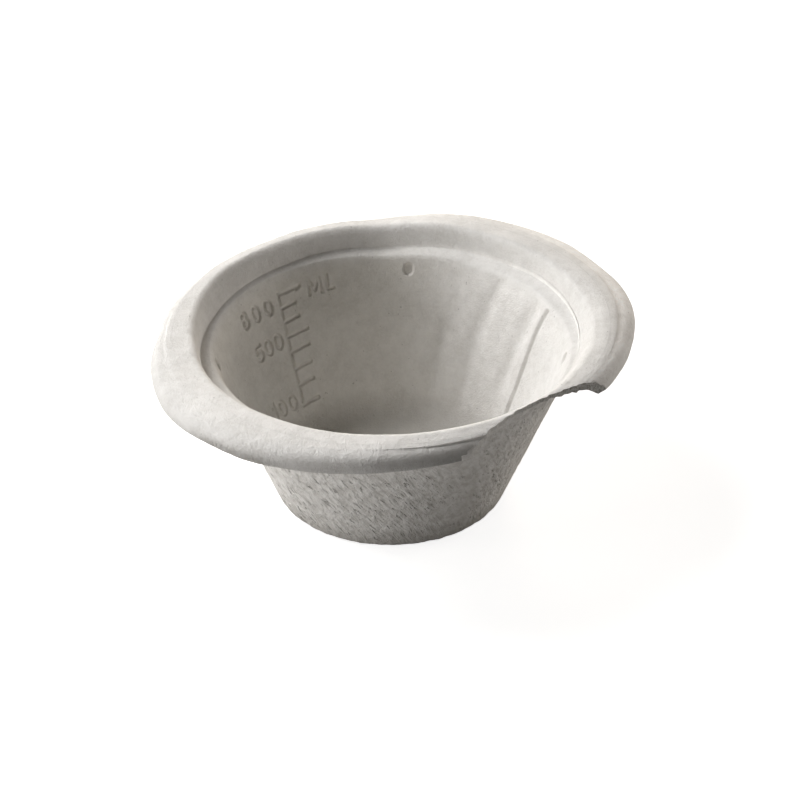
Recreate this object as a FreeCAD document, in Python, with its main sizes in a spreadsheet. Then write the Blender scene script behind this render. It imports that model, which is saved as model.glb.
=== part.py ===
import FreeCAD, Part
import math
import os
import Sketcher

# A disposable sick bowl, moulded from paper pulp in one piece: a round tapered bowl with a domed
# floor, a narrow ledge round its mouth, a raised oval rim whose skirt turns down, and a notch cut
# through the rim for the chin. A volume scale is sunk in the inner wall, opposite the notch.
# Frame: the bowl stands on z = 0 with its axis on Z. The chin notch faces -Y, the scale is at +Y.

Vector = FreeCAD.Vector
doc = FreeCAD.newDocument("pulp_bowl")

SIZES = {
    # the moulded sheet
    "pulp": 2.0,                # thickness of the moulded sheet
    "bend_share": 0.8,          # part of the thickness by which the rim's underside is moved sideways
    # bowl, measured on the inside at the mouth
    "mouth_radius": 79.0,
    "wall_height": 73.6,        # from the table to the top of the tapered wall
    "wall_draft": 21.3,         # lean of the wall, degrees from upright
    "base_corner": 5.0,         # outside radius at the foot
    "floor_corner": 10.0,       # inside radius between floor and wall
    "foot_width": 9.0,          # flat ring that the bowl stands on, inside the corner
    "dome_height": 3.0,         # rise of the floor at its middle
    # rim rings: how far each stands outside the mouth at the sides and at the front and back
    "ledge_side": 8.4,
    "ledge_front": 1.4,
    "ledge_rise": 2.0,          # height above the top of the wall
    "crown_inner_side": 10.6,
    "crown_inner_front": 7.8,
    "crown_outer_side": 20.7,
    "crown_outer_front": 14.8,
    "crown_rise": 11.2,
    "skirt_side": 35.9,
    "skirt_front": 18.4,
    "skirt_rise": 4.9,          # lower edge of the skirt, above the top of the wall
    "crown_shift": 0.8,         # the outer rings sit this much nearer the notch
    "skirt_shift": 3.4,
    "crown_inner_round": 2.5,
    "crown_outer_round": 2.5,
    "skirt_round": 1.2,
    "reach_past": 12.0,         # how far the cutting tools run on past the sheet
    # chin notch: an arc cut straight down through the rim
    "notch_radius": 149.0,
    "notch_lip": 2.0,           # crown left inside the cut at its middle
    "notch_turn": 4.5,          # the cut is this many degrees off the front, towards -X
    # volume scale
    "mark_width": 1.6,
    "mark_depth": 0.6,
    "short_mark": 9.0,
    "long_mark": 12.3,
    # four stacking lugs below the mouth, sunk in the wall
    "lug_radius": 2.6,
    "lug_depth": 0.8,
    "lug_drop": 6.0,
    "lug_front_turn": 43.0,     # degrees either side of the front
    "lug_back_turn": 51.4,      # degrees either side of the back
    # flutes pressed in one side of the wall
    "flute_radius": 9.0,
    "flute_depth": 0.7,
    "crease_radius": 1.1,
    "crease_depth": 0.9,
}
MARKS = range(100, 900, 100)                    # millilitres
LONG_MARKS = (500, 800)
SCALE_TURN = 90.0                               # the scale's upright line, degrees from +X
# each flute runs down the wall: degrees from +X and drop below the mouth, at its upper and lower end
FLUTES = {"flute_back": ((23.0, 36.0), (27.5, 60.0)),
          "flute_middle": ((3.0, 5.0), (9.0, 60.0)),
          "flute_front": ((-14.0, 5.0), (-8.0, 45.0))}
CREASE = ((-20.5, 5.0), (-21.5, 55.0))

sizes = doc.addObject("Spreadsheet::Sheet", "sizes")
for row, (alias, value) in enumerate(SIZES.items(), start=1):
    sizes.set(f"A{row}", alias)
    sizes.set(f"B{row}", str(value))
    sizes.setAlias(f"B{row}", alias)
doc.recompute()


def size(alias):
    return float(sizes.get(alias))


def bind(item, **expressions):
    """Tie properties of a document object to the sheet; __ in a name stands for a dot."""
    for name, expression in expressions.items():
        item.setExpression(name.replace("__", "."), expression)


# ---------------------------------------------------------------- bowl: wall, foot and domed floor
# The half section is a sheet of even thickness, drawn in XZ and turned round Z.
DRAFT = math.radians(size("wall_draft"))
WALL_OUT = size("mouth_radius") + size("pulp") / math.cos(DRAFT)
BASE_OUT = WALL_OUT - size("wall_height") * math.tan(DRAFT)
BASE_IN = size("mouth_radius") - (size("wall_height") - size("pulp")) * math.tan(DRAFT)
DOME_EDGE = BASE_OUT - size("base_corner") - size("foot_width")
MOUTH = size("mouth_radius")
TOP = size("wall_height")
PULP = size("pulp")
DOME = size("dome_height")


def dome_arc(edge, level, rise):
    """Flat arc from the axis to (edge, level), highest on the axis."""
    radius = (edge ** 2 + rise ** 2) / (2 * rise)
    circle = Part.Circle(Vector(0, level + rise - radius, 0), Vector(0, 0, 1), radius)
    return Part.ArcOfCircle(circle, math.atan2(radius - rise, edge), math.pi / 2)


bowl = doc.addObject("PartDesign::Body", "bowl_body")
planes = {feature.Role: feature for feature in bowl.Origin.OriginFeatures}
section = bowl.newObject("Sketcher::SketchObject", "wall_section")
section.AttachmentSupport = [(planes["XZ_Plane"], "")]
section.MapMode = "FlatFace"
corners = [(DOME_EDGE, PULP), (BASE_IN, PULP), (size("mouth_radius"), TOP), (WALL_OUT, TOP),
           (BASE_OUT, 0), (DOME_EDGE, 0)]
for start, end in zip(corners, corners[1:]):
    section.addGeometry(Part.LineSegment(Vector(*start, 0), Vector(*end, 0)))
section.addGeometry(dome_arc(DOME_EDGE, 0, DOME))
section.addGeometry(Part.LineSegment(Vector(0, DOME, 0), Vector(0, DOME + PULP, 0)))
section.addGeometry(dome_arc(DOME_EDGE, PULP, DOME))
FLOOR_TOP, WALL_IN, LIP, WALL_OUTSIDE, FOOT, DOME_UNDER, AXIS, DOME_TOP = range(8)
START, END, CENTRE = 1, 2, 3
UPRIGHT = -2
Constraint = Sketcher.Constraint
for line, following in ((FLOOR_TOP, WALL_IN), (WALL_IN, LIP), (LIP, WALL_OUTSIDE), (WALL_OUTSIDE, FOOT)):
    section.addConstraint(Constraint("Coincident", line, END, following, START))
section.addConstraint(Constraint("Coincident", FOOT, END, DOME_UNDER, START))
section.addConstraint(Constraint("Coincident", DOME_UNDER, END, AXIS, START))
section.addConstraint(Constraint("Coincident", AXIS, END, DOME_TOP, END))
section.addConstraint(Constraint("Coincident", DOME_TOP, START, FLOOR_TOP, START))
for line in (FLOOR_TOP, LIP, FOOT):
    section.addConstraint(Constraint("Horizontal", line))
section.addConstraint(Constraint("PointOnObject", FOOT, END, -1))
section.addConstraint(Constraint("PointOnObject", AXIS, START, UPRIGHT))
section.addConstraint(Constraint("PointOnObject", AXIS, END, UPRIGHT))
section.addConstraint(Constraint("PointOnObject", DOME_UNDER, CENTRE, UPRIGHT))
section.addConstraint(Constraint("PointOnObject", DOME_TOP, CENTRE, UPRIGHT))
section.addConstraint(Constraint("Vertical", FLOOR_TOP, START, FOOT, END))
section.addConstraint(Constraint("Parallel", WALL_IN, WALL_OUTSIDE))


def driven(kind, name, expression, *places):
    """A named dimension of the section, read from the sheet."""
    index = section.addConstraint(Constraint(kind, *places))
    section.renameConstraint(index, name)
    section.setExpression(f"Constraints.{name}", expression)


driven("DistanceX", "mouth", "sizes.mouth_radius", -1, 1, WALL_IN, END, size("mouth_radius"))
driven("DistanceY", "height", "sizes.wall_height", -1, 1, WALL_IN, END, TOP)
driven("Distance", "lip", "sizes.pulp / cos(sizes.wall_draft * 1 deg)", LIP, START, LIP, END,
       PULP / math.cos(DRAFT))
driven("Angle", "draft", "(90 - sizes.wall_draft) * 1 deg", WALL_IN, math.pi / 2 - DRAFT)
driven("DistanceY", "floor", "sizes.pulp", FOOT, END, FLOOR_TOP, START, PULP)
driven("Distance", "foot", "sizes.foot_width + sizes.base_corner", FOOT, START, FOOT, END,
       BASE_OUT - DOME_EDGE)
driven("DistanceY", "dome", "sizes.dome_height", -1, 1, AXIS, START, DOME)
driven("DistanceY", "dome_top", "sizes.dome_height + sizes.pulp", -1, 1, AXIS, END, DOME + PULP)
turning = bowl.newObject("PartDesign::Revolution", "bowl_wall")
turning.Profile = section
turning.ReferenceAxis = (section, ["V_Axis"])
turning.Angle = 360
bowl.Tip = turning
doc.recompute()


def edge_at(shape, height, reach):
    """Name of the closed level edge of a shape that lies at a height and reaches to x = reach."""
    found = [(abs(edge.BoundBox.ZMin - height) + abs(edge.BoundBox.XMax - reach), number)
             for number, edge in enumerate(shape.Edges, start=1)
             if edge.isClosed() and edge.BoundBox.ZLength < 0.01]
    return min(found)[1]


for name, radius, height, reach in (("foot_round", "base_corner", 0, BASE_OUT),
                                    ("floor_round", "floor_corner", PULP, BASE_IN)):
    before = bowl.Tip
    corner = bowl.newObject("PartDesign::Fillet", name)
    corner.Base = (before, [f"Edge{edge_at(before.Shape, height, reach)}"])
    bind(corner, Radius=f"sizes.{radius}")
    bowl.Tip = corner
    doc.recompute()

# ------------------------------------------------------------------------- rim: lofts between rings
# Every ring is an ellipse, wider at the sides than from front to back. The upper side of the sheet
# runs mouth - ledge - inner crown - outer crown - skirt; the underside follows it one sheet lower.
Z_TOP = "sizes.wall_height"


def ring(name, side, front, height, shift="0", stand_off="0"):
    """Ellipse about the bowl: radii beyond the mouth at the sides and front, height, shift to -Y."""
    oval = doc.addObject("Part::Ellipse", name)
    bind(oval, MajorRadius=f"sizes.mouth_radius + {side} + {stand_off}",
         MinorRadius=f"sizes.mouth_radius + {front} + {stand_off}",
         Placement__Base__y=f"-({shift})", Placement__Base__z=height)
    return oval


def block(name, *rings):
    """Solid with straight sides from ring to ring."""
    loft = doc.addObject("Part::Loft", name)
    loft.Sections = list(rings)
    loft.Solid = True
    loft.Ruled = True
    return loft


def joined(name, *shapes):
    fuse = doc.addObject("Part::MultiFuse", name)
    fuse.Shapes = list(shapes)
    return fuse


def cut(name, base, tool):
    result = doc.addObject("Part::Cut", name)
    result.Base = base
    result.Tool = tool
    return result


LEDGE = ("sizes.ledge_side", "sizes.ledge_front")
CROWN_IN = ("sizes.crown_inner_side", "sizes.crown_inner_front")
CROWN_OUT = ("sizes.crown_outer_side", "sizes.crown_outer_front")
SKIRT = ("sizes.skirt_side", "sizes.skirt_front")
Z_LEDGE = f"{Z_TOP} + sizes.ledge_rise"
Z_CROWN = f"{Z_TOP} + sizes.crown_rise"
Z_SKIRT = f"{Z_TOP} + sizes.skirt_rise"
OUT, IN = "sizes.bend_share * sizes.pulp", "-sizes.bend_share * sizes.pulp"
ON_WALL = "sizes.pulp / cos(sizes.wall_draft * 1 deg) - sizes.pulp * tan(sizes.wall_draft * 1 deg)"

brim = block("brim_block",
             ring("skirt_foot", *SKIRT, Z_SKIRT, "sizes.skirt_shift"),
             ring("skirt_edge", *SKIRT, f"{Z_SKIRT} + sizes.pulp", "sizes.skirt_shift"),
             ring("crown_edge", *CROWN_OUT, Z_CROWN, "sizes.crown_shift"))
under_brim = block("under_brim",
                   ring("skirt_under", *SKIRT, Z_SKIRT, "sizes.skirt_shift", IN),
                   ring("crown_under", *CROWN_OUT, f"{Z_CROWN} - sizes.pulp", "sizes.crown_shift", IN))
riser = block("riser_block",
              ring("mouth_under", "0", "0", f"{Z_TOP} - sizes.pulp", "0", ON_WALL),
              ring("ledge_under", *LEDGE, f"{Z_LEDGE} - sizes.pulp", "0", OUT),
              ring("riser_under", *CROWN_IN, f"{Z_CROWN} - sizes.pulp", "0", OUT))
mouth_space = block("mouth_space",
                    ring("mouth", "0", "0", Z_TOP),
                    ring("ledge", *LEDGE, Z_LEDGE),
                    ring("crown_inner", *CROWN_IN, Z_CROWN))

# the bowl's own inside, so that the riser block doesn't close the mouth
inside = doc.addObject("Part::Cone", "bowl_space")
bind(inside, Radius2="sizes.mouth_radius", Height="sizes.reach_past",
     Radius1="sizes.mouth_radius - sizes.reach_past * tan(sizes.wall_draft * 1 deg)",
     Placement__Base__z=f"{Z_TOP} - sizes.reach_past")

rim = joined("rim", cut("brim_sheet", brim, under_brim), riser)
open_rim = cut("open_rim", rim, joined("open_space", mouth_space, inside))

# ------------------------------------------------------------------------------------- chin notch
notch = doc.addObject("Part::Cylinder", "notch_cut")
REACH = "(sizes.mouth_radius + sizes.crown_inner_front + sizes.notch_lip + sizes.notch_radius)"
bind(notch, Radius="sizes.notch_radius", Height="sizes.crown_rise + 2 * sizes.reach_past",
     Placement__Base__x=f"-{REACH} * sin(sizes.notch_turn * 1 deg)",
     Placement__Base__y=f"-{REACH} * cos(sizes.notch_turn * 1 deg)",
     Placement__Base__z=f"{Z_TOP} - sizes.reach_past")
notched = cut("notched_rim", open_rim, notch)
doc.recompute()

# the bends on either side of the crown are rounded last, up to the ends of the cut
CROWN = TOP + size("crown_rise")
BENDS = {(CROWN, MOUTH + size("crown_inner_side")): size("crown_inner_round"),
         (CROWN, MOUTH + size("crown_outer_side")): size("crown_outer_round"),
         (TOP + size("skirt_rise") + PULP, MOUTH + size("skirt_side")): size("skirt_round")}


def bend_edges():
    """Numbers and radii of the ellipses that bound the crown's flat and the top of the skirt's edge."""
    for number, edge in enumerate(notched.Shape.Edges, start=1):
        if isinstance(edge.Curve, Part.Ellipse):
            for (height, reach), radius in BENDS.items():
                if abs(edge.BoundBox.Center.z - height) + abs(edge.Curve.MajorRadius - reach) < 0.01:
                    yield number, radius, radius


rounded = doc.addObject("Part::Fillet", "rounded_rim")
rounded.Base = notched
rounded.Edges = list(bend_edges())

# ---------------------------------------------------------- marks, lugs and flutes in the inner wall
def wall_radius(height):
    return MOUTH - (TOP - height) * math.tan(DRAFT)


def on_wall(azimuth, height):
    """Point of the inner wall at degrees from +X."""
    turn = math.radians(azimuth)
    radius = wall_radius(height)
    return Vector(radius * math.cos(turn), radius * math.sin(turn), height)


def facing_wall(azimuth):
    """Turn that lays X along the wall's girth, Y up the wall and Z square out of it, into the bowl."""
    round_axis = FreeCAD.Rotation(Vector(0, 0, 1), azimuth - 90)
    lean = FreeCAD.Rotation(Vector(1, 0, 0), 90 - size("wall_draft"))
    return round_axis.multiply(lean)


def fill_height(millilitres):
    """Level above the table at which the bowl holds that much, found by halving."""
    floor_radius = wall_radius(PULP)
    dome_volume = math.pi * DOME_EDGE ** 2 * DOME / 2
    low, high = PULP, 2 * TOP
    for _halving in range(40):
        level = (low + high) / 2
        radius = wall_radius(level)
        volume = math.pi * (level - PULP) / 3 * (floor_radius ** 2 + floor_radius * radius + radius ** 2)
        if volume - dome_volume < 1000 * millilitres:
            low = level
        else:
            high = level
    return level


tools = []


def groove(name, length, width, azimuth, height):
    """Sunk mark: a box lying in the wall with its middle at a place on it."""
    mark = doc.addObject("Part::Box", name)
    mark.Length, mark.Width, mark.Height = length, width, size("reach_past")
    turn = facing_wall(azimuth)
    corner = Vector(-length / 2, -width / 2, -size("mark_depth"))
    mark.Placement = FreeCAD.Placement(on_wall(azimuth, height) + turn.multVec(corner), turn)
    tools.append(mark)


WIDE = size("mark_width")
levels = {volume: fill_height(volume) for volume in MARKS}
levels = {volume: level for volume, level in levels.items() if level < TOP - WIDE}
for volume, level in levels.items():
    length = size("long_mark" if volume in LONG_MARKS else "short_mark")
    middle = SCALE_TURN - math.degrees(length / 2 / wall_radius(level))
    groove(f"mark_{volume}", length, WIDE, middle, level)
highest, lowest = max(levels.values()), min(levels.values())
groove("mark_line", WIDE, (highest - lowest) / math.cos(DRAFT), SCALE_TURN, (highest + lowest) / 2)

lug_height = TOP - size("lug_drop")
for corner, azimuth in enumerate((-90 - size("lug_front_turn"), -90 + size("lug_front_turn"),
                                  90 - size("lug_back_turn"), 90 + size("lug_back_turn")), start=1):
    lug = doc.addObject("Part::Cylinder", f"lug_{corner}")
    bind(lug, Radius="sizes.lug_radius", Height="sizes.reach_past")
    turn = facing_wall(azimuth)
    depth = turn.multVec(Vector(0, 0, -size("lug_depth")))
    lug.Placement = FreeCAD.Placement(on_wall(azimuth, lug_height) + depth, turn)
    tools.append(lug)


def pressed(name, upper, lower, radius, depth):
    """Round-bottomed channel down the wall between two places on it, with ends that fade out."""
    top, bottom = [on_wall(azimuth, TOP - drop) for azimuth, drop in (upper, lower)]
    inward = facing_wall((upper[0] + lower[0]) / 2).multVec(Vector(0, 0, radius - depth))
    channel = doc.addObject("Part::Cylinder", name)
    channel.Radius, channel.Height = radius, (top - bottom).Length
    turn = FreeCAD.Rotation(Vector(0, 0, 1), top - bottom)
    channel.Placement = FreeCAD.Placement(bottom + inward, turn)
    ends = []
    for end, place in (("top", top), ("bottom", bottom)):
        ball = doc.addObject("Part::Sphere", f"{name}_{end}")
        ball.Radius = radius
        ball.Placement = FreeCAD.Placement(place + inward, turn)
        ends.append(ball)
    tools.append(joined(f"{name}_tool", channel, *ends))


for name, (upper, lower) in FLUTES.items():
    pressed(name, upper, lower, size("flute_radius"), size("flute_depth"))
pressed("crease", *CREASE, size("crease_radius"), size("crease_depth"))

moulded = joined("moulded", rounded, bowl)
finished = cut("finished_bowl", moulded, joined("wall_marks", *tools))
finished.Label = "pulp_bowl"
doc.recompute()

for item in doc.Objects:
    if "Invalid" in item.State or "Error" in item.State:
        raise RuntimeError(f"{item.Name} failed: {item.State}")
if finished.Shape.isNull() or not finished.Shape.isValid() or len(finished.Shape.Solids) != 1:
    raise RuntimeError(f"{finished.Label} is not one valid solid")
os.makedirs("parts", exist_ok=True)
finished.Shape.exportStep(f"parts/{finished.Label}.step")
box = finished.Shape.BoundBox
print(f"{finished.Label}: {box.XLength:.1f} x {box.YLength:.1f} x {box.ZLength:.1f} mm, "
      f"{finished.Shape.Volume / 1000:.1f} cm3, marks {list(levels)}")
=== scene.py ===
import math

import bmesh
import bpy
import numpy as np
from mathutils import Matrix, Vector


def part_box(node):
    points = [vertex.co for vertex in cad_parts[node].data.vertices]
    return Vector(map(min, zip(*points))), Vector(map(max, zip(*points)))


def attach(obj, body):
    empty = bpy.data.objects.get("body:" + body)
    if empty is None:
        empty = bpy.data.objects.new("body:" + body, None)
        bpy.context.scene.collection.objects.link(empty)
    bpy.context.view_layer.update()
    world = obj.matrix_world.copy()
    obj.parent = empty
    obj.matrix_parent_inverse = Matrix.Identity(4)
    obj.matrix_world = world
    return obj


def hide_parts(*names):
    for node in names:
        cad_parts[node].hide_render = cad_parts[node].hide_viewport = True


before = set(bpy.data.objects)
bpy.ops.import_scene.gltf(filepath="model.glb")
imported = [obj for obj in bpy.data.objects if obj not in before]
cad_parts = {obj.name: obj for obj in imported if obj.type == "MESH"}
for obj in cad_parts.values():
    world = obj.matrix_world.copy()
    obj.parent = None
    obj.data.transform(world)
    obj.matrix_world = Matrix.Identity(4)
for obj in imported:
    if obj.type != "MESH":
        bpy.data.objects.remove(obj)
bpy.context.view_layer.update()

# ------------------------------------------------------------------------------ section of the bowl
# The bowl is one sheet of paper pulp about 2 mm thick, sucked on to a wire-faced mould and dried.
# Its section is drawn twice, out to the sides and out to the chin, because the rim is an oval
# with a broader brim at the sides. Sizes are in millimetres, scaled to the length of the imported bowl.
DRAWN_LENGTH = 229.8
low_corner, high_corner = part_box("pulp_bowl")
MM = (high_corner.x - low_corner.x) / DRAWN_LENGTH
PULP = 2.0
WALL_TOP = 73.6
MOUTH = 79.0
WALL_FOOT = 51.1
FOOT = 52.4
DOME_EDGE = 38.5
DOME = 3.0
EDGE_BULGE = 0.5
# how many rows the rounding of a corner takes
ARC_ROWS = 6
# corners of the mould side: half width, half length, height, shift to the chin, the shares of
# the runs before and after that its rounding takes, and rows up to the next corner
CORNERS = [(0, 0, PULP, 0, 0, 0, 12),
           (DOME_EDGE, DOME_EDGE, PULP, 0, 0, 0, 4),
           (WALL_FOOT, WALL_FOOT, PULP, 0, 0.6, 0.11, 36),
           (MOUTH, MOUTH, WALL_TOP, 0, 0.03, 0.3, 4),
           (87.2, 80.4, 74.5, 0, 0.08, 0.1, 5),
           (89.9, 87.1, 84.9, 0, 0.36, 0.34, 5),
           (99.6, 93.8, 84.8, 0.8, 0.4, 0.3, 5),
           (113.0, 95.4, 83.6, 3.2, 0.6, 0.85, 2),
           (114.8, 97.4, 78.6, 3.5, 0, 0, 0)]
RIDGE_CORNER = 6


def rounded(corners):
    """Points of a path through corners (x, y, share before, share after, rows to the next)."""
    points, marks = [], []
    for number, (x, y, before, after, rows) in enumerate(corners):
        here = Vector((x, y))
        marks.append(len(points) + (ARC_ROWS // 2 if before else 0))
        if before:
            start = here.lerp(Vector(corners[number - 1][:2]), before)
            end = here.lerp(Vector(corners[number + 1][:2]), after)
            for t in [step / ARC_ROWS for step in range(ARC_ROWS + 1)]:
                points.append(start.lerp(here, t).lerp(here.lerp(end, t), t))
        else:
            points.append(here)
        if rows:
            start = points[-1]
            following = corners[number + 1]
            end = Vector(following[:2]).lerp(here, following[2])
            points += [start.lerp(end, step / rows) for step in range(1, rows)]
    return np.array(points), marks


def left_of(path):
    """Unit normals on the left of a path."""
    run = np.gradient(path, axis=0)
    run /= np.linalg.norm(run, axis=1)[:, None]
    return np.stack([-run[:, 1], run[:, 0]], axis=1)


def closed_section(half, corners=CORNERS):
    """The whole section: mould side out to the brim's edge, and back along the wire side."""
    mould, marks = rounded([(corner[half], corner[2], *corner[4:]) for corner in corners])
    out = left_of(mould)
    wire = mould - PULP * out
    # the brim's edge bulges a little between its two sides
    edge, tip = mould[-1], wire[-1]
    heading = mould[-1] - mould[-2]
    heading /= np.linalg.norm(heading)
    steps = np.array([0.2, 0.5, 0.8])[:, None]
    bulge = edge + (tip - edge) * steps + heading * EDGE_BULGE * np.sin(np.pi * steps)
    # under the brim and down the wall, then round the foot to the middle of the base
    wall_row = marks[2] + ARC_ROWS
    foot, _ = rounded([(*wire[wall_row], 0, 0, 3), (FOOT, 0, 0.17, 0.12, 5),
                       (DOME_EDGE, 0, 0, 0, 12), (0, 0, 0, 0, 0)])
    section = np.concatenate([mould, bulge, wire[:wall_row:-1], foot])
    reach, height = section.T
    height = height + DOME * np.clip(1 - (reach / DOME_EDGE) ** 2, 0, None)
    return reach, height, marks, len(mould)


across_reach, across_height, marks, mould_rows = closed_section(0)
along_reach, along_height, _, _ = closed_section(1)
RIDGE_ROW = marks[RIDGE_CORNER]
shift = np.interp(across_reach, [corner[0] for corner in CORNERS], [corner[3] for corner in CORNERS])
ROWS = len(across_reach)


def section_object(name, points):
    """A section as an object of edges, for a tree to read."""
    mesh = bpy.data.meshes.new(name)
    mesh.from_pydata((points * MM).tolist(), [(n, n + 1) for n in range(len(points) - 1)], [])
    return bpy.data.objects.new(name, mesh)


across = section_object("section_across", np.stack([across_reach, -shift, across_height], axis=1))
along = section_object("section_along", np.stack([along_reach, 0 * shift, along_height], axis=1))

# ------------------------------------------------------------------------------ sheet bent round
# The real sheet is sucked on to its mould in one go. Here its mesh starts flat, with turns along
# it and rows up it, from the middle of the floor over the brim to the middle of the base, and is
# then bent round to the two sections.
TURNS = 240
# where the sheet is finer, for the marks in the wall: turns in degrees, drops below the mouth
FINER = [(64, 114, 1, 66), (33, 44, 1, 13), (136, 147, 1, 13), (307, 317, 1, 13), (223, 233, 1, 13),
         (336, 343, 0, 60)]
FINER_CUTS = 4

sheet = bmesh.new()
grid = [[sheet.verts.new((turn / TURNS, row, 0)) for row in range(ROWS)] for turn in range(TURNS + 1)]
for turn in range(TURNS):
    for row in range(ROWS - 1):
        sheet.faces.new((grid[turn][row], grid[turn][row + 1],
                         grid[turn + 1][row + 1], grid[turn + 1][row]))
slope = math.hypot(MOUTH - WALL_FOOT, WALL_TOP - PULP)
fall = (WALL_TOP - PULP) / slope
finer = set()
for start, stop, top, bottom in FINER:
    top, bottom = WALL_TOP - top * fall, WALL_TOP - bottom * fall
    fine_rows = [row for row in range(marks[3] + ARC_ROWS // 2 + 1) if bottom < across_height[row] < top]
    for face in sheet.faces:
        middle = face.calc_center_median()
        if start < middle.x * 360 < stop and fine_rows[0] < middle.y < fine_rows[-1]:
            finer.update(face.edges)
bmesh.ops.subdivide_edges(sheet, edges=list(finer), cuts=FINER_CUTS, use_grid_fill=True)
sheet_mesh = bpy.data.meshes.new("sheet")
sheet.to_mesh(sheet_mesh)
sheet.free()


class Wire:
    """An output in a node tree. Sums on it add Math nodes."""

    def __init__(self, graph, socket):
        self.graph, self.socket = graph, socket

    def sum(self, operation, *others):
        """A Math node on this output and more values."""
        return self.graph.node("ShaderNodeMath", {"operation": operation}, dict(enumerate((self, *others))))

    def __add__(self, other):
        return self.sum("ADD", other)

    def __sub__(self, other):
        return self.sum("SUBTRACT", other)

    def __rsub__(self, other):
        return (self * -1).sum("ADD", other)

    def __mul__(self, other):
        return self.sum("MULTIPLY", other)

    def __truediv__(self, other):
        return self.sum("DIVIDE", other)

    def __rtruediv__(self, other):
        return self.sum("POWER", -1) * other

    __radd__ = __add__
    __rmul__ = __mul__


class Graph:
    """A node tree that is written as sums."""

    def __init__(self, tree):
        self.tree = tree
        tree.nodes.clear()

    def node(self, kind, settings=None, sockets=None, output=0):
        """Adds a node: its settings first, then the values or links of its sockets."""
        node = self.tree.nodes.new(kind)
        for name, value in (settings or {}).items():
            setattr(node, name, value)
        for name, value in (sockets or {}).items():
            if isinstance(value, Wire):
                self.tree.links.new(value.socket, node.inputs[name])
            else:
                node.inputs[name].default_value = value
        return Wire(self, node.outputs[output])

    def parts(self, vector):
        """The x, y and z of a vector."""
        x = self.node("ShaderNodeSeparateXYZ", {}, {0: vector})
        return [Wire(self, output) for output in x.socket.node.outputs]

    def vector(self, x, y, z):
        """A vector of three numbers."""
        return self.node("ShaderNodeCombineXYZ", {}, {0: x, 1: y, 2: z})

    def vector_sum(self, operation, *values):
        """A Vector Math node on vectors or colours. SCALE takes a vector and a number."""
        sockets = dict(enumerate(values))
        if operation == "SCALE":
            sockets = {0: values[0], 3: values[1]}
        return self.node("ShaderNodeVectorMath", {"operation": operation}, sockets)

    def blend(self, factor, a, b, kind="FLOAT"):
        """Mixes two numbers, vectors or colours."""
        at = {"FLOAT": 2, "VECTOR": 4, "RGBA": 6}[kind]
        output = {"FLOAT": 0, "VECTOR": 1, "RGBA": 2}[kind]
        return self.node("ShaderNodeMix", {"data_type": kind}, {0: factor, at: a, at + 1: b}, output)

    def fade(self, value, start, end):
        """Rises smoothly from 0 to 1 as a value goes from start to end."""
        return self.node("ShaderNodeMapRange", {"interpolation_type": "SMOOTHSTEP"},
                         {"Value": value, "From Min": start, "From Max": end})


def geometry_graph(name, inputs):
    """A Geometry Nodes tree with named inputs after its geometry."""
    tree = bpy.data.node_groups.new(name, "GeometryNodeTree")
    tree.interface.new_socket("Geometry", in_out="OUTPUT", socket_type="NodeSocketGeometry")
    graph = Graph(tree)
    named = {}
    for label, kind in {"Geometry": "Geometry", **inputs}.items():
        named[label] = tree.interface.new_socket(label, in_out="INPUT", socket_type="NodeSocket" + kind)
    group = tree.nodes.new("NodeGroupInput")
    wires = {label: Wire(graph, group.outputs[label]) for label in named}
    return graph, wires, {label: socket.identifier for label, socket in named.items()}


def close_graph(graph, geometry, material):
    """Ends a tree in Realize Instances and Set Material."""
    real = graph.node("GeometryNodeRealizeInstances", {}, {0: geometry})
    done = graph.node("GeometryNodeSetMaterial", {}, {"Geometry": real, "Material": material})
    end = graph.tree.nodes.new("NodeGroupOutput")
    graph.tree.links.new(done.socket, end.inputs[0])


def made_with(piece, graph, identifiers, values):
    """Runs a tree on a piece and keeps the result as its plain mesh."""
    modifier = piece.modifiers.new(graph.tree.name, "NODES")
    modifier.node_group = graph.tree
    for label, value in values.items():
        modifier[identifiers[label]] = value
    evaluated = piece.evaluated_get(bpy.context.evaluated_depsgraph_get())
    mesh = bpy.data.meshes.new_from_object(evaluated)
    piece.modifiers.clear()
    piece.data = mesh


pulp = bpy.data.materials.new("moulded_pulp")
pulp.use_nodes = True

bend, given, bend_inputs = geometry_graph("bend_round", {
    "Across": "Object", "Along": "Object", "Wire side row": "Float", "Pulp": "Material"})
turn, row, _ = bend.parts(bend.node("GeometryNodeInputPosition"))
whole_row = row.sum("FLOOR")
part_row = row - whole_row


def sampled(section):
    """The section's point at this row, between its two nearest points."""
    shape = bend.node("GeometryNodeObjectInfo", {}, {"Object": section}, "Geometry")
    place = bend.node("GeometryNodeInputPosition")
    ends = [bend.node("GeometryNodeSampleIndex", {"data_type": "FLOAT_VECTOR", "clamp": True},
                      {"Geometry": shape, "Value": place, "Index": whole_row + step})
            for step in (0, 1)]
    return bend.parts(bend.blend(part_row, *ends, "VECTOR"))


across_x, across_y, across_z = sampled(given["Across"])
along_x, _, along_z = sampled(given["Along"])
angle = turn * math.tau
cosine, sine = angle.sum("COSINE"), angle.sum("SINE")
bent = bend.vector(across_x * cosine, along_x * sine + across_y,
                   across_z * cosine * cosine + along_z * sine * sine)
side = bend.fade(row, given["Wire side row"] - 1, given["Wire side row"] + 2)
marked = bend.node("GeometryNodeStoreNamedAttribute", {"data_type": "FLOAT", "domain": "POINT"},
                   {"Geometry": given["Geometry"], "Name": "wire_side", "Value": side})
marked = bend.node("GeometryNodeStoreNamedAttribute", {"data_type": "FLOAT", "domain": "POINT"},
                   {"Geometry": marked, "Name": "row", "Value": row})
moved = bend.node("GeometryNodeSetPosition", {}, {"Geometry": marked, "Position": bent})
closed = bend.node("GeometryNodeMergeByDistance", {}, {"Geometry": moved, "Distance": 0.01 * MM})
close_graph(bend, closed, given["Pulp"])

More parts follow.
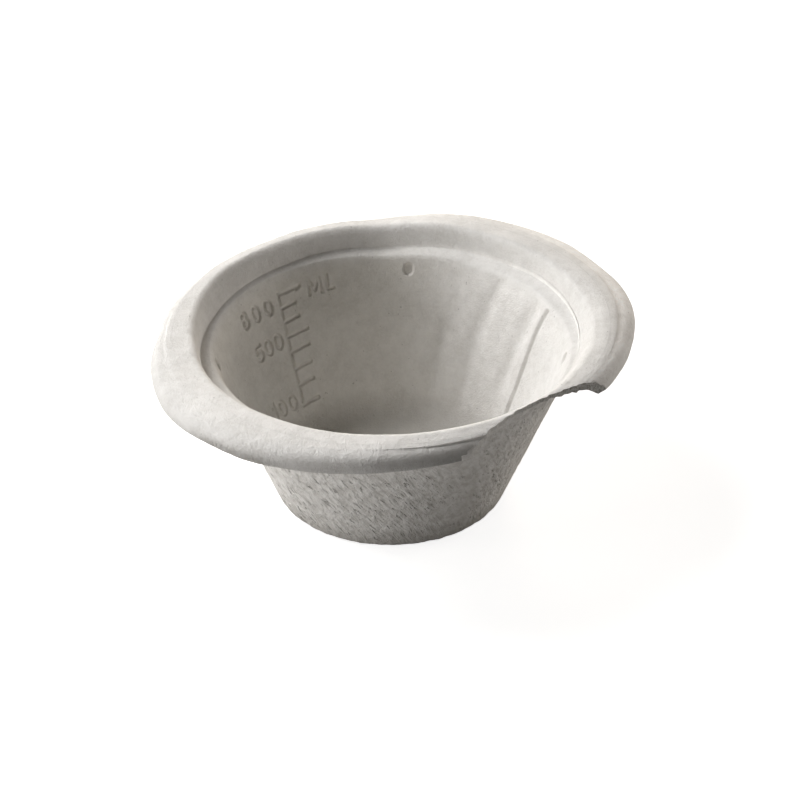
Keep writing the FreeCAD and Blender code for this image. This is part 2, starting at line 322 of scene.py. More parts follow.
bowl = bpy.data.objects.new("moulded_bowl", sheet_mesh)
for thing in (bowl, across, along):
    bpy.context.scene.collection.objects.link(thing)
made_with(bowl, bend, bend_inputs, {"Across": across, "Along": along,
                                    "Wire side row": float(mould_rows), "Pulp": pulp})
for thing in (across, along):
    bpy.data.objects.remove(thing)

# ------------------------------------------------------------------------------ marks in the wall
# The mould presses a measuring scale, four small lugs, three wide flutes and a crease into the
# smooth side of the wet pulp. The scale's strokes are soft-edged grooves nearly a millimetre deep.
DRAFT = math.atan((MOUTH - WALL_FOOT) / (WALL_TOP - PULP))


def on_wall(turn, drop):
    """A point of the smooth wall: degrees round from the right, millimetres down from the mouth."""
    reach = MOUTH - drop * math.sin(DRAFT)
    angle = math.radians(turn)
    return (MM * reach * math.cos(angle), MM * reach * math.sin(angle),
            MM * (WALL_TOP - drop * math.cos(DRAFT)))


STROKE_STEPS = 8


def strokes_object(name, strokes):
    """Strokes as lines of short edges; each stroke is a list of (turn, drop)."""
    points, edges = [], []
    for stroke in strokes:
        first = len(points)
        for (turn_a, drop_a), (turn_b, drop_b) in zip(stroke, stroke[1:]):
            for t in [step / STROKE_STEPS for step in range(STROKE_STEPS)]:
                points.append(on_wall(turn_a + (turn_b - turn_a) * t, drop_a + (drop_b - drop_a) * t))
        points.append(on_wall(*stroke[-1]))
        edges += [(n, n + 1) for n in range(first, len(points) - 1)]
    mesh = bpy.data.meshes.new(name)
    mesh.from_pydata(points, edges, [])
    return bpy.data.objects.new(name, mesh)


def glyph(turn, drop, strokes):
    """Places a figure's strokes, in millimetres from its middle, on the wall."""
    across_turn = math.degrees(1 / (MOUTH - drop * math.sin(DRAFT)))
    return [[(turn - x * across_turn, drop - y) for x, y in stroke] for stroke in strokes]


RING_STEPS = 14


def ring(width, height, x=0.0, y=0.0, start=0, stop=360, lean=0.0):
    """An oval stroke, or part of one, in millimetres."""
    steps = [math.radians(start + (stop - start) * n / RING_STEPS) for n in range(RING_STEPS + 1)]
    ring_points = [(width / 2 * math.cos(a), height / 2 * math.sin(a)) for a in steps]
    return [(x + px + lean * py, y + py) for px, py in ring_points]


NOUGHT = [ring(4.4, 6.8, lean=-0.06)]
EIGHT = [ring(3.9, 3.2, y=1.75), ring(4.5, 3.7, y=-1.65)]
FIVE = [[(2.1, 3.4), (-1.5, 3.3), (-1.9, 0.4)], ring(4.4, 4.6, x=-0.1, y=-1.2, start=140, stop=-150)]
ONE = [[(-1.6, 2.2), (0.5, 3.6), (0.3, -3.6)]]
LETTER_M = [[(-3.3, -3.3), (-2.6, 3.3), (0.2, -1.9), (2.9, 3.5), (3.5, -3.2)]]
LETTER_L = [[(-1.2, 3.6), (-1.4, -3.5), (1.5, -3.3)]]
# the figures and letters: turn, drop below the mouth, strokes
FIGURES = [(107.7, 10.4, EIGHT), (101.0, 11.2, NOUGHT), (94.6, 11.9, NOUGHT),
           (106.4, 28.1, FIVE), (100.6, 28.7, NOUGHT), (94.8, 29.0, NOUGHT),
           (111.0, 56.3, ONE), (105.1, 57.9, NOUGHT), (97.7, 58.7, NOUGHT),
           (73.5, 10.4, LETTER_M), (67.3, 9.6, LETTER_L)]
# the ticks: drop below the mouth and length, from the 800 mark to the 100 mark
TICKS = [(8.7, 12.4), (15.2, 8.5), (22.1, 8.9), (29.2, 12.1),
         (36.7, 10.8), (45.0, 9.9), (53.2, 9.1), (62.9, 9.3)]
SPINE = (88.8, 91.7)
SPINE_ENDS = (8.2, 61)
TICK_RISE = 0.7
# a short hook ends the top tick
TICK_HOOK = [(80.9, 8.7), (79.4, 7.6)]


def spine_turn(drop):
    """The turn of the scale's upright line at a drop."""
    return SPINE[0] + (SPINE[1] - SPINE[0]) * (drop - TICKS[0][0]) / (TICKS[-1][0] - TICKS[0][0])


figure_strokes = [stroke for turn, drop, strokes in FIGURES for stroke in glyph(turn, drop, strokes)]
tick_strokes = [[(spine_turn(drop), drop) for drop in SPINE_ENDS]]
for drop, length in TICKS:
    across_turn = math.degrees(length / (MOUTH - drop * math.sin(DRAFT)))
    tick_strokes.append([(spine_turn(drop), drop), (spine_turn(drop) - across_turn, drop - TICK_RISE)])
tick_strokes.append(TICK_HOOK)

LUGS = [38.6, 141.4, -48.0, -132.0]
LUG_DROP = 6.4
lug_strokes = [[(turn, LUG_DROP - 0.5), (turn, LUG_DROP + 0.7)] for turn in LUGS]
# the flutes and the crease run down the wall: turns and drops
OUTER_FLUTES = [[(22.6, 34), (24.2, 52), (26.6, 70)],
                [(-14.2, 7), (-11.6, 30), (-11.2, 50)]]
MIDDLE_FLUTE = [(3.2, 4), (5.3, 11), (6.9, 20), (8.0, 32), (8.8, 46), (9.2, 66)]
CREASE = [(-21.5, 3), (-20.6, 8), (-20.0, 15), (-20.0, 23), (-20.6, 33), (-21.2, 45), (-21.6, 62)]

press, given, press_inputs = geometry_graph("press_in", {
    "Strokes": "Object", "Half width": "Float", "Soft edge": "Float", "Depth": "Float",
    "Shade": "Float", "Pulp": "Material"})
strokes = press.node("GeometryNodeObjectInfo", {}, {"Object": given["Strokes"]}, "Geometry")
apart = press.node("GeometryNodeProximity", {"target_element": "EDGES"}, {0: strokes}, "Distance")
full, gone = given["Half width"] - given["Soft edge"], given["Half width"] + given["Soft edge"]
groove = 1 - press.fade(apart, full, gone)
wire_side = press.node("GeometryNodeInputNamedAttribute", {"data_type": "FLOAT"}, {"Name": "wire_side"})
groove = groove * (1 - wire_side)
inward = press.vector_sum("SCALE", press.node("GeometryNodeInputNormal"), groove * given["Depth"] * -1)
pressed = press.node("GeometryNodeSetPosition", {}, {"Geometry": given["Geometry"], "Offset": inward})
# the groove's share of painted shade is kept in the attribute groove, for the pulp's colour
before = press.node("GeometryNodeInputNamedAttribute", {"data_type": "FLOAT"}, {"Name": "groove"})
pressed = press.node("GeometryNodeStoreNamedAttribute", {"data_type": "FLOAT", "domain": "POINT"},
                     {"Geometry": pressed, "Name": "groove",
                      "Value": before.sum("MAXIMUM", groove * given["Shade"])})
close_graph(press, pressed, given["Pulp"])

# name, strokes, half width, soft edge and depth in millimetres, and how much painted shade darkens its
# groove
PRESSED = [("figures", figure_strokes, 0.7, 0.4, 0.95, 1.0),
           ("ticks", tick_strokes, 0.75, 0.4, 0.9, 1.0),
           ("lugs", lug_strokes, 2.2, 0.6, 1.3, 0.12),
           ("flutes", OUTER_FLUTES, 3.2, 3.0, 1.3, 0.0),
           ("middle_flute", [MIDDLE_FLUTE], 3.2, 3.0, 0.9, 0.0),
           ("crease", [CREASE], 1.0, 1.0, 1.3, 0.4)]
for name, strokes, half_width, soft_edge, depth, shade in PRESSED:
    tool = strokes_object(name, strokes)
    bpy.context.scene.collection.objects.link(tool)
    made_with(bowl, press, press_inputs, {"Strokes": tool, "Half width": half_width * MM,
                                          "Soft edge": soft_edge * MM, "Depth": depth * MM,
                                          "Shade": shade, "Pulp": pulp})
    bpy.data.objects.remove(tool)

# ------------------------------------------------------------------------------ drying warp
# The thin brim warps as it dries: it lifts and sags round the bowl, its edge pulls in and out,
# and the whole sheet is slightly wavy, most of all on the wire side. Nothing holds it flat.
WAVE_LENGTH, WAVE = 32, 0.8
RIPPLE_LENGTH, RIPPLE = 9, 0.35
LUMP_LENGTH, LUMP = 4.2, 0.9

wave, given, wave_inputs = geometry_graph("dry_out", {
    "Wave length": "Float", "Wave": "Float", "Ripple length": "Float", "Ripple": "Float",
    "Lump length": "Float", "Lump": "Float", "Pulp": "Material"})
spot = wave.node("GeometryNodeInputPosition")


def drift(length, amount, detail):
    """A vector that wanders over the sheet."""
    noise = wave.node("ShaderNodeTexNoise", {},
                      {"Vector": spot, "Scale": 1 / length, "Detail": detail}, "Color")
    return wave.vector_sum("SCALE", wave.vector_sum("SUBTRACT", noise, (0.5, 0.5, 0.5)), amount)


_, _, height = wave.parts(spot)
loose = wave.fade(height, 20 * MM, 80 * MM)
lump = wave.node("ShaderNodeTexNoise", {},
                 {"Vector": spot, "Scale": 1 / given["Lump length"], "Detail": 2.0}, "Fac")
on_wire = wave.node("GeometryNodeInputNamedAttribute", {"data_type": "FLOAT"}, {"Name": "wire_side"})
rough = wave.vector_sum("SCALE", wave.node("GeometryNodeInputNormal"),
                        (lump - 0.5) * given["Lump"] * on_wire)
waves = wave.vector_sum("ADD", drift(given["Wave length"], given["Wave"] * (0.3 + loose), 1.0),
                        drift(given["Ripple length"], given["Ripple"], 2.0))
waved = wave.node("GeometryNodeSetPosition", {}, {"Geometry": given["Geometry"],
                                                  "Offset": wave.vector_sum("ADD", waves, rough)})
close_graph(wave, waved, given["Pulp"])
made_with(bowl, wave, wave_inputs, {
    "Wave length": WAVE_LENGTH * MM, "Wave": WAVE * MM,
    "Ripple length": RIPPLE_LENGTH * MM, "Ripple": RIPPLE * MM,
    "Lump length": LUMP_LENGTH * MM, "Lump": LUMP * MM, "Pulp": pulp})

# each bump round the bowl: its turn and width in degrees, and its amount in millimetres
LIFTS = [(30, 11, 1.0), (53, 8, -1.0), (104, 22, 1.0)]
PULLS = [(-14, 18, -1.3), (-49, 14, 0.1), (-31, 16, 2.3), (119, 10, 1.4), (-70, 8, 0.6),
         (77, 3, 1.2), (84, 3, -1.6), (135, 7, -0.6), (173, 12, 1.6), (-164, 11, 1.4)]
# where the riser leans in, where the ledge is broader, and where its outer edge is raised
LEANS = [(138, 24, -2.2)]
LEDGES = [(72, 28, 2.8)]
LEDGE_LIFTS = [(-8, 48, 2.2), (68, 22, 0.9)]
# where the brim is folded down, tucked in at its edge, or slopes off to its edge
FOLDS = [(-112, 19, 1.0)]
TUCKS = [(-156, 22, 1.25)]
SLOPES = [(-36, 27, 1.0)]
# where the brim turns down more sharply, and where its edge is rough
SHARP_EDGE = [(122, 42, 0.9)]
ROUGH_EDGE = [(-168, 11, 1.0)]

count = len(bowl.data.vertices)
spots = np.empty(count * 3)
bowl.data.vertices.foreach_get("co", spots)
spots = spots.reshape(-1, 3)
spot_rows = np.empty(count)
bowl.data.attributes["row"].data.foreach_get("value", spot_rows)
turns = np.degrees(np.arctan2(spots[:, 1] / CORNERS[-1][1], spots[:, 0] / CORNERS[-1][0]))
outward = np.stack([spots[:, 0], spots[:, 1]], axis=1)
outward /= np.maximum(np.linalg.norm(outward, axis=1), MM)[:, None]
every_row = np.arange(ROWS)
# a row and the row behind it on the wire side add up to this
PARTNERS = 2 * mould_rows + 3


def swell(bumps):
    """The sum of smooth bumps round the bowl."""
    total = np.zeros(count)
    for turn, width, amount in bumps:
        away = (turns - turn + 180) % 360 - 180
        total += amount * np.exp(-(away / width) ** 2)
    return total


def by_row(rows, values, at=spot_rows):
    """A value that changes with the row, and in the same way on the wire side."""
    rows = np.array(rows)
    return np.interp(at, np.concatenate([rows, PARTNERS - rows[::-1]]), values + values[::-1])


def push_out(amount):
    """Moves the sheet away from the bowl's middle, in millimetres."""
    spots[:, :2] += outward * (amount * MM)[:, None]


push_out(swell(PULLS) * by_row([RIDGE_ROW, mould_rows - 3], [0, 1]))
near_rim = np.clip((spots[:, 2] / MM - 60) / 15, 0, 1)
spots[:, 2] += swell(LIFTS) * near_rim * MM
eased = np.exp(-np.abs((spot_rows - marks[4]) / 3.0)) * (spot_rows < mould_rows)
spots[:, 2] += swell(LEDGE_LIFTS) * eased * MM
above_wall = np.abs(spot_rows - PARTNERS / 2) < mould_rows - marks[3]
push_out(swell(LEANS) * by_row([marks[4], marks[5], RIDGE_ROW], [0.1, 1, 0]) * above_wall)
push_out(swell(LEDGES) * by_row([marks[3] + 3, marks[4], marks[5] - 2], [0, 1, 0]))

# where the brim turns down more sharply, the corner after its ridge is rounded less
sharp_corners = list(CORNERS)
after_ridge = CORNERS[RIDGE_CORNER + 1]
sharp_corners[RIDGE_CORNER + 1] = (*after_ridge[:4], 0.25, 0.35, after_ridge[6])
sharp_reach, sharp_height, _, _ = closed_section(1, sharp_corners)
sharp = np.clip(swell(SHARP_EDGE), 0, 1)
push_out(np.interp(spot_rows, every_row, sharp_reach - along_reach) * sharp)
spots[:, 2] += np.interp(spot_rows, every_row, sharp_height - along_height) * sharp * MM

# seven rows from the ledge over the ridge to the brim's edge, and how far the brim is pushed
# out and raised at each, in millimetres
BRIM_ROWS = [marks[4], marks[5], (marks[5] + RIDGE_ROW) / 2, RIDGE_ROW,
             (RIDGE_ROW + marks[7]) / 2, marks[7], mould_rows - 1]
BRIM_CHANGES = [(FOLDS, [0, 0, 0, 0, -1.2, -1.8, -3.2], [0, 0, -0.2, -0.9, -1.4, -2.1, -2.2]),
                (TUCKS, [0, 0, 0, 0, -0.1, -0.6, -4.0], [0, 0, 0, 0.1, 0.2, 0.1, -2.6]),
                (SLOPES, [0, 0, 0, 0, 0, -0.6, -1.0], [0, -1.0, -0.5, 0.2, -0.8, -1.8, -1.6])]
soften = np.hanning(9) / np.hanning(9).sum()
for bumps, *changes in BRIM_CHANGES:
    pushed, raised = [np.convolve(by_row(BRIM_ROWS, change, every_row), soften, "same")
                      for change in changes]
    amount = swell(bumps)
    push_out(np.interp(spot_rows, every_row, pushed) * amount)
    spots[:, 2] += np.interp(spot_rows, every_row, raised) * amount * MM

# the bite for the chin is torn round a circle: its radius, how near it comes to the bowl's
# middle, and its turn
NOTCH_RADIUS = 149.0
NOTCH_NEAREST = 88.8
NOTCH_TURN = math.radians(-94.5)
NOTCH_CENTRE = [(NOTCH_NEAREST + NOTCH_RADIUS) * way(NOTCH_TURN) for way in (math.cos, math.sin)]
# at its right end the torn edge of the brim is frayed, and hangs thicker
FRAY = 1.4
FRAY_REACH = 7.0
from_centre = np.hypot(spots[:, 0] / MM - NOTCH_CENTRE[0], spots[:, 1] / MM - NOTCH_CENTRE[1])
fray = np.clip(1 - (from_centre - NOTCH_RADIUS) / FRAY_REACH, 0, 1) * (spots[:, 0] > 0)
wire_ridge = 2 * mould_rows - RIDGE_ROW
fray *= np.interp(spot_rows, [mould_rows + 1, mould_rows + 4, wire_ridge + 1, wire_ridge + 9], [0, 1, 1, 0])
spots[:, 2] -= fray * FRAY * MM
spots[:, 2] = np.maximum(spots[:, 2], 0)
at_edge = np.interp(spot_rows - mould_rows, [-5, -2.5, 3, 5], [0, 1, 1, 0])
rough_edge = bowl.data.attributes.new("rough_edge", "FLOAT", "POINT")
rough_edge.data.foreach_set("value", swell(ROUGH_EDGE) * at_edge)
bowl.data.vertices.foreach_set("co", spots.ravel())
bowl.data.update()

# ------------------------------------------------------------------------------ chin notch
# A round bite is torn out of the brim where the chin goes, down to the mouth, while the pulp is
# still damp. Its edge is ragged, and shows the loose fibre inside the sheet.
NOTCH_STEPS = 480
NOTCH_RAGGED = 0.5
NOTCH_LEVELS = (70.5, 74.0, 77.0, 80.0, 83.0, 88.0)
NOTCH_BENDS = 40
# the tear runs a little further in where it leaves the brim on the left: turn, width, amount
TEAR_END = (101.8, 1.8, 2.2)

bite = bmesh.new()
random = np.random.default_rng(5)
coarse = random.normal(0, 1, NOTCH_BENDS)
around = np.linspace(0, math.tau, NOTCH_STEPS, endpoint=False)
further_in = TEAR_END[2] * np.exp(-((np.degrees(around) - TEAR_END[0]) / TEAR_END[1]) ** 2)
columns = []
for level in NOTCH_LEVELS:
    bends = np.interp(np.linspace(0, NOTCH_BENDS, NOTCH_STEPS), np.arange(NOTCH_BENDS), coarse)
    wander = bends * 0.4 + random.normal(0, 1, NOTCH_STEPS) * 0.5
    radius = NOTCH_RADIUS + NOTCH_RAGGED * wander + further_in
    columns.append([bite.verts.new((MM * (NOTCH_CENTRE[0] + r * math.cos(a)),
                                    MM * (NOTCH_CENTRE[1] + r * math.sin(a)), MM * level))
                    for r, a in zip(radius, around)])
for lower, upper in zip(columns, columns[1:]):
    for n in range(NOTCH_STEPS):
        following = (n + 1) % NOTCH_STEPS
        bite.faces.new((lower[n], lower[following], upper[following], upper[n]))
bite.faces.new(columns[0][::-1])
bite.faces.new(columns[-1])
bite_mesh = bpy.data.meshes.new("chin_bite")
bite.to_mesh(bite_mesh)
bite.free()
torn_pulp = bpy.data.materials.new("torn_pulp")
torn_pulp.use_nodes = True
bowl.data.materials.append(torn_pulp)
for material in (pulp, torn_pulp):
    bite_mesh.materials.append(material)
bite_mesh.polygons.foreach_set("material_index", [1] * len(bite_mesh.polygons))
bite_object = bpy.data.objects.new("chin_bite", bite_mesh)
bpy.context.scene.collection.objects.link(bite_object)
cut = bowl.modifiers.new("chin_bite", "BOOLEAN")
cut.operation, cut.solver, cut.object = "DIFFERENCE", "MANIFOLD", bite_object
mesh = bpy.data.meshes.new_from_object(bowl.evaluated_get(bpy.context.evaluated_depsgraph_get()))
bowl.modifiers.clear()
bowl.data = mesh
bpy.data.objects.remove(bite_object)
mesh.name = "moulded_bowl"
mesh.shade_smooth()
mesh.set_sharp_from_angle(angle=math.radians(40))

# ------------------------------------------------------------------------------ pulp
# Recycled paper pulp, dried matt and light grey. The side that lay on the smooth mould is felted
# and faintly blotched; the side that lay on the wire is lumpy, with pits between its fibres.
FELT_DARK = (0.675, 0.657, 0.632, 1)
FELT_LIGHT = (0.80, 0.784, 0.763, 1)
WIRE_DARK = (0.61, 0.59, 0.562, 1)
WIRE_LIGHT = (0.78, 0.765, 0.743, 1)
FIBRE = (0.83, 0.82, 0.80, 1)
SHADE = (0.42, 0.40, 0.37, 1)
ROUGH_FIBRE = (0.42, 0.395, 0.355, 1)
FLECK = (0.20, 0.185, 0.165, 1)

paint = Graph(pulp.node_tree)
place = paint.node("ShaderNodeTexCoord", {}, {}, "Object")


def clouds(size, detail=3.0, roughness=0.55, distortion=0.0, shift=0.0, place=place):
    """Noise with features of a size in millimetres, from 0 to 1. A shift moves it elsewhere."""
    moved = paint.vector_sum("ADD", place, (shift, shift * 0.7, -shift))
    return paint.node("ShaderNodeTexNoise", {}, {"Vector": moved, "Scale": 1 / (size * MM),
                                                 "Detail": detail, "Roughness": roughness,
                                                 "Distortion": distortion}, "Fac")


def attribute(name):
    """A value that the sheet carries from when it was made."""
    return paint.node("ShaderNodeAttribute", {"attribute_name": name}, {}, "Fac")


def brighter(colour, amount):
    """A colour made brighter by a share, or darker by a negative one."""
    return paint.vector_sum("SCALE", colour, 1 + amount)


def over(colour, amount, top):
    """A colour with another laid over it."""
    return paint.blend(amount, colour, top, "RGBA")


# places in millimetres; to_right grows from turn 135, beside the scale, to turn -45, beside the notch
x, y, z = [part / MM for part in paint.parts(place)]
to_right = x - y
row = attribute("row")
wire = paint.fade(attribute("wire_side"), 0.3, 0.7)
groove_shade = attribute("groove")

blotches = clouds(14, 2)
patches = clouds(4.5, 3, shift=0.3)
felt = clouds(1.3, 4, 0.65, shift=0.5)
grain = clouds(0.55, 2, 0.6, shift=0.7)
# threads of fibre are the thin lines where a bent noise passes its middle
thread_noise = clouds(3.2, 2, 0.5, 1.6, shift=0.9)
threads = 1 - paint.fade((thread_noise - 0.5).sum("ABSOLUTE"), 0.0, 0.022)
threads = threads * paint.fade(clouds(6, 1, shift=1.1), 0.45, 0.62)
flecks = paint.fade(clouds(1.6, 1, 0.4, shift=1.3), 0.735, 0.775)
flecks = flecks * paint.fade(clouds(9, 1, shift=1.5), 0.42, 0.55)

# on the felted side the brim's crown is painted paler, as painted light on the top of the brim; the right
# of the inside, the lit side, is painted pale too, as painted light; and the rest of the inside, in shade,
# is painted a little warmer, as the warm tint of painted shade
smooth_colour = paint.blend(paint.fade(blotches, 0.3, 0.7) * 0.5 + paint.fade(patches, 0.3, 0.7) * 0.5,
                            FELT_DARK, FELT_LIGHT, "RGBA")
smooth_colour = over(smooth_colour, paint.fade(felt, 0.35, 0.75) * 0.5, FIBRE)
inside = 1 - paint.fade(z, 68, 78)
painted_crown_light = paint.fade(row, marks[5] - 2, marks[5] + 3) * (1 - paint.fade(row, marks[7] - 3, marks[7] + 4))
painted_crown_light = painted_crown_light * paint.fade(to_right, -150, -110) * (1 - paint.fade(to_right, 30, 100) * 0.5)
painted_wall_light = inside * paint.fade(to_right, 10, 70)
smooth_colour = brighter(smooth_colour, painted_crown_light * 0.23 + painted_wall_light * 0.1)
# painted shade: the inside away from the right is tinted warmer
warm = inside * (1 - paint.fade(to_right, -10, 60))
smooth_colour = paint.vector_sum("MULTIPLY", smooth_colour,
                                 paint.vector(1, 1 - warm * 0.012, 1 - warm * 0.045))

# the ledge is painted paler at the right, as painted light, and its corner at the left is painted darker,
# as painted shade
on_ledge = paint.fade(row, marks[3] - 2, marks[3] + 2) * (1 - paint.fade(row, marks[4] + 1, marks[4] + 5))
smooth_colour = brighter(smooth_colour, on_ledge * paint.fade(x, 30, 80) * 0.1)
painted_corner_shade = 1 - paint.fade((row - marks[4]).sum("ABSOLUTE"), 1.0, 5.0)
painted_corner_shade = painted_corner_shade * (1 - paint.fade(x, -55, -20))
smooth_colour = over(smooth_colour, painted_corner_shade * 0.3, SHADE)

# the brim's turned-down edge is painted darker, as painted shade, on the left, most of all beside the chin
# notch, and the outer slope of the brim is painted paler at the right, as painted light
turned_down_shade = paint.fade(row, marks[7] - 3, mould_rows - 2) * (1 - paint.fade(x, -20, 40))
turned_down_shade = turned_down_shade * (paint.fade(to_right, -100, -30) * 0.35 + 0.65)
turned_down_shade = turned_down_shade * (paint.fade(to_right, 0, 50) * 0.28 + 0.3)
smooth_colour = brighter(smooth_colour, turned_down_shade * -1)
outer_right_light = paint.fade(row, RIDGE_ROW, marks[7]) * paint.fade(to_right, 60, 110)
smooth_colour = brighter(smooth_colour, outer_right_light * 0.2)
smooth_colour = over(smooth_colour, threads * 0.25, FIBRE)
smooth_colour = over(smooth_colour, flecks * 0.35, FLECK)
# the grooves are painted darker, as painted shade in them
smooth_colour = over(smooth_colour, groove_shade * 0.8, SHADE)

# the joint of the mould leaves a hairline ridge round the brim, which fades in places
from_ridge = (row - RIDGE_ROW).sum("ABSOLUTE")
seam_shows = paint.fade(clouds(16, 2, shift=2.5), 0.42, 0.6) * 0.65 + 0.35
seam = (1 - paint.fade((from_ridge - 0.24).sum("ABSOLUTE"), 0.03, 0.16)) * seam_shows
seam_middle = (1 - paint.fade(from_ridge, 0.0, 0.14)) * seam_shows * paint.fade(x, 20, 60)
smooth_colour = over(smooth_colour, seam_middle * 0.35, SHADE)
smooth_colour = over(smooth_colour, seam * 0.4, FIBRE)

# on the wire side the fibres were combed down the wall, so that its lumps are longer than wide;
# they stand out most near turn 135
reach = (x * x + y * y).sum("SQRT") + 1
combed = paint.vector(x / reach * 62 + z * 0.42, y / reach * 62 - z * 0.42, (z + reach) * 0.3)
combed = paint.vector_sum("SCALE", combed, MM)
lumps = clouds(4.2, 3, 0.55, 0.2, shift=1.7)
strands = clouds(2.2, 3, 0.6, 0.35, shift=1.9, place=combed)
pits = paint.fade(clouds(2.0, 2, 0.5, 0.4, shift=2.1, place=combed), 0.60, 0.69)
pits = pits * paint.fade(clouds(9, 1, shift=2.3), 0.40, 0.58)
flatter = paint.fade(to_right, -70, 0)
wire_colour = paint.blend(paint.fade(lumps * 0.5 + strands * 0.5, 0.36, 0.62),
                          WIRE_DARK, WIRE_LIGHT, "RGBA")
# the wire side is painted up to 16 per cent lighter towards turn 135, as painted light on the lit outer
# wall
wire_colour = brighter(wire_colour, 0.16 - paint.fade(to_right, -90, -50) * 0.16)
wire_colour = over(wire_colour, pits * (0.6 - flatter * 0.2), FLECK)

colour = over(smooth_colour, wire, wire_colour)
rough_edge = paint.fade(attribute("rough_edge"), 0.0, 0.7)
colour = over(colour, rough_edge * paint.fade(patches, 0.35, 0.6) * 0.55, ROUGH_FIBRE)
# the lowest 16 mm of the bowl are painted darker, as painted shade near the floor
painted_foot_shade = 1 - paint.fade(z, 0, 16)
colour = over(colour, painted_foot_shade * 0.6, SHADE)

smooth_height = (blotches * 0.5 + patches * 0.3 + felt * 0.34 + grain * 0.28
                 + threads * 0.04 + seam * 0.1)
rough_height = smooth_height + patches * 1.3 + felt * 1.1
wire_height = lumps * 1.8 + strands * 1.6 + felt * 0.2 + grain * 0.08 - pits * 0.9
wire_height = wire_height * (1 - flatter * 0.42)
height = paint.blend(wire, paint.blend(rough_edge, smooth_height, rough_height), wire_height)
bump = paint.node("ShaderNodeBump", {}, {"Height": height, "Distance": MM, "Strength": 1.0})
shader = paint.node("ShaderNodeBsdfPrincipled", {}, {
    "Base Color": colour, "Roughness": paint.blend(wire, 0.86 - felt * 0.1, 0.95),
    "Specular IOR Level": 0.25, "Normal": bump})
end = paint.tree.nodes.new("ShaderNodeOutputMaterial")
paint.tree.links.new(shader.socket, end.inputs["Surface"])

# ------------------------------------------------------------------------------ torn pulp
# The torn edge shows the inside of the same sheet: loose fibre, uneven and rough. It is painted pale at the
# left end, where the tear runs out thin, as painted light along that thin edge; at the right end, where the
# tear is thick, it keeps its darker colour.
TORN_DARK = (0.44, 0.42, 0.39, 1)
TORN_LIGHT = (0.76, 0.745, 0.72, 1)
TORN_PALE = (0.86, 0.845, 0.82, 1)
TORN_SIZE = 1.1
TORN_DEPTH = 1.6

tear = Graph(torn_pulp.node_tree)
tear_place = tear.node("ShaderNodeTexCoord", {}, {}, "Object")
tear_x, _, _ = tear.parts(tear_place)
painted_left_light = 1 - tear.fade(tear_x / MM, -30, 20)
ragged = tear.node("ShaderNodeTexNoise", {}, {"Vector": tear_place, "Scale": 1 / (TORN_SIZE * MM),
                                              "Detail": 4.0, "Roughness": 0.65, "Distortion": 0.8}, "Fac")
tear_colour = tear.blend(tear.fade(ragged, 0.38, 0.6), TORN_DARK, TORN_LIGHT, "RGBA")
tear_colour = tear.blend(painted_left_light * 0.7, tear_colour, TORN_PALE, "RGBA")
tear_bump = tear.node("ShaderNodeBump", {},
                      {"Height": ragged * TORN_DEPTH, "Distance": MM, "Strength": 1.0})
tear_shader = tear.node("ShaderNodeBsdfPrincipled", {}, {
    "Base Color": tear_colour, "Roughness": 0.95, "Specular IOR Level": 0.2, "Normal": tear_bump})
end = tear.tree.nodes.new("ShaderNodeOutputMaterial")
tear.tree.links.new(tear_shader.socket, end.inputs["Surface"])

# the bowl is one moulded piece, and nothing on it moves
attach(bowl, "root")
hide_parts("pulp_bowl")

# ------------------------------------------------------------------------------ floor and light
# The bowl stands on a plain pale floor that glows white to the camera and to reflections, and
# keeps the bowl's shadow. Six square lamps stand round it in a dim warm room.
FLOOR = 3
FLOOR_COLOUR = (0.62, 0.615, 0.61, 1)
FLOOR_GLOW = 0.82

floor_mesh = bpy.data.meshes.new("floor")
floor_mesh.from_pydata([(-FLOOR, -FLOOR, 0), (FLOOR, -FLOOR, 0), (FLOOR, FLOOR, 0), (-FLOOR, FLOOR, 0)],
                       [], [(0, 1, 2, 3)])
floor = bpy.data.objects.new("floor", floor_mesh)
bpy.context.scene.collection.objects.link(floor)
floor_material = bpy.data.materials.new("pale_floor")
floor_material.use_nodes = True
card = Graph(floor_material.node_tree)
rays = card.tree.nodes.new("ShaderNodeLightPath")
seen = Wire(card, rays.outputs["Is Camera Ray"])
for kind in ("Is Glossy Ray", "Is Transmission Ray"):
    seen = seen.sum("MAXIMUM", Wire(card, rays.outputs[kind]))
shaded = card.node("ShaderNodeBsdfDiffuse", {}, {"Color": FLOOR_COLOUR})
glow = card.node("ShaderNodeEmission", {}, {"Color": (1, 1, 1, 1), "Strength": seen * FLOOR_GLOW})
both = card.node("ShaderNodeAddShader", {}, {0: shaded, 1: glow})
end = card.tree.nodes.new("ShaderNodeOutputMaterial")
card.tree.links.new(both.socket, end.inputs["Surface"])
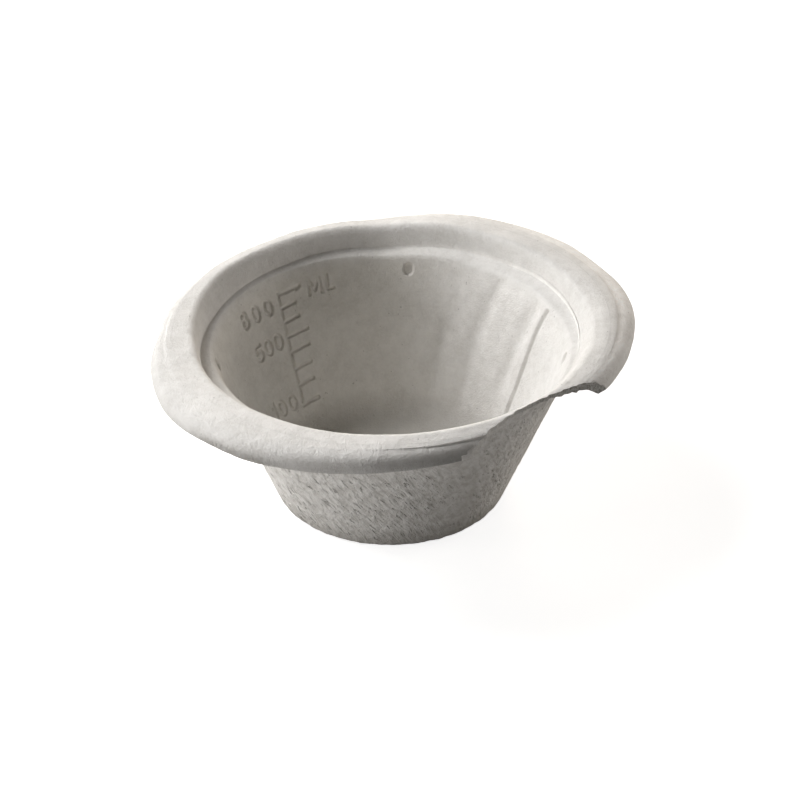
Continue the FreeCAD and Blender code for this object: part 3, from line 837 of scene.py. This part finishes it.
floor_mesh.materials.append(floor_material)

world = bpy.data.worlds.new("studio")
world.use_nodes = True
bpy.context.scene.world = world
room = world.node_tree.nodes["Background"]
room.inputs["Color"].default_value = (1, 0.95, 0.88, 1)
room.inputs["Strength"].default_value = 0.02

LAMP_DISTANCE = 1.3
BOWL_MIDDLE = Vector((0, 0, 50 * MM))


def softbox(name, turn, lift, size, power, colour):
    """A square lamp that faces the bowl from a turn round it and a lift above the floor."""
    lamp = bpy.data.lights.new(name, "AREA")
    lamp.size, lamp.energy, lamp.color = size, power, colour
    box = bpy.data.objects.new(name, lamp)
    turn, lift = math.radians(turn), math.radians(lift)
    way = Vector((math.cos(turn) * math.cos(lift), math.sin(turn) * math.cos(lift), math.sin(lift)))
    box.location = way * LAMP_DISTANCE + BOWL_MIDDLE
    box.rotation_euler = way.to_track_quat("Z", "Y").to_euler()
    bpy.context.scene.collection.objects.link(box)


softbox("key", 112, 42, 0.85, 18.8, (1, 0.995, 0.985))
softbox("left_fill", 147, 12, 0.5, 4.4, (1, 0.99, 0.975))
softbox("low_left", 177, 5, 0.3, 3.1, (1, 0.98, 0.96))
softbox("back_fill", 40, 12, 0.5, 6.6, (1, 0.87, 0.72))
softbox("right_fill", 341, 12, 0.5, 4.7, (1, 0.94, 0.87))
softbox("low_right", 321, 4, 0.3, 1.8, (1, 0.97, 0.93))

# ------------------------------------------------------------------------------ camera
# The camera looks down into the bowl from the left of the chin notch, a metre away, with a long
# lens. Its angles are its tip, roll and turn in degrees.
CAMERA_PLACE = (-0.592874, -0.592874, 0.587857)
CAMERA_ANGLES = (56.987, -0.138, -45.196)
LENS, SENSOR = 99.79, 36

camera = bpy.data.objects.new("camera", bpy.data.cameras.new("camera"))
camera.data.lens = LENS
camera.data.sensor_width = SENSOR
camera.location = CAMERA_PLACE
camera.rotation_euler = [math.radians(angle) for angle in CAMERA_ANGLES]
bpy.context.scene.collection.objects.link(camera)
bpy.context.scene.camera = camera
bpy.context.scene.view_settings.view_transform = "Standard"
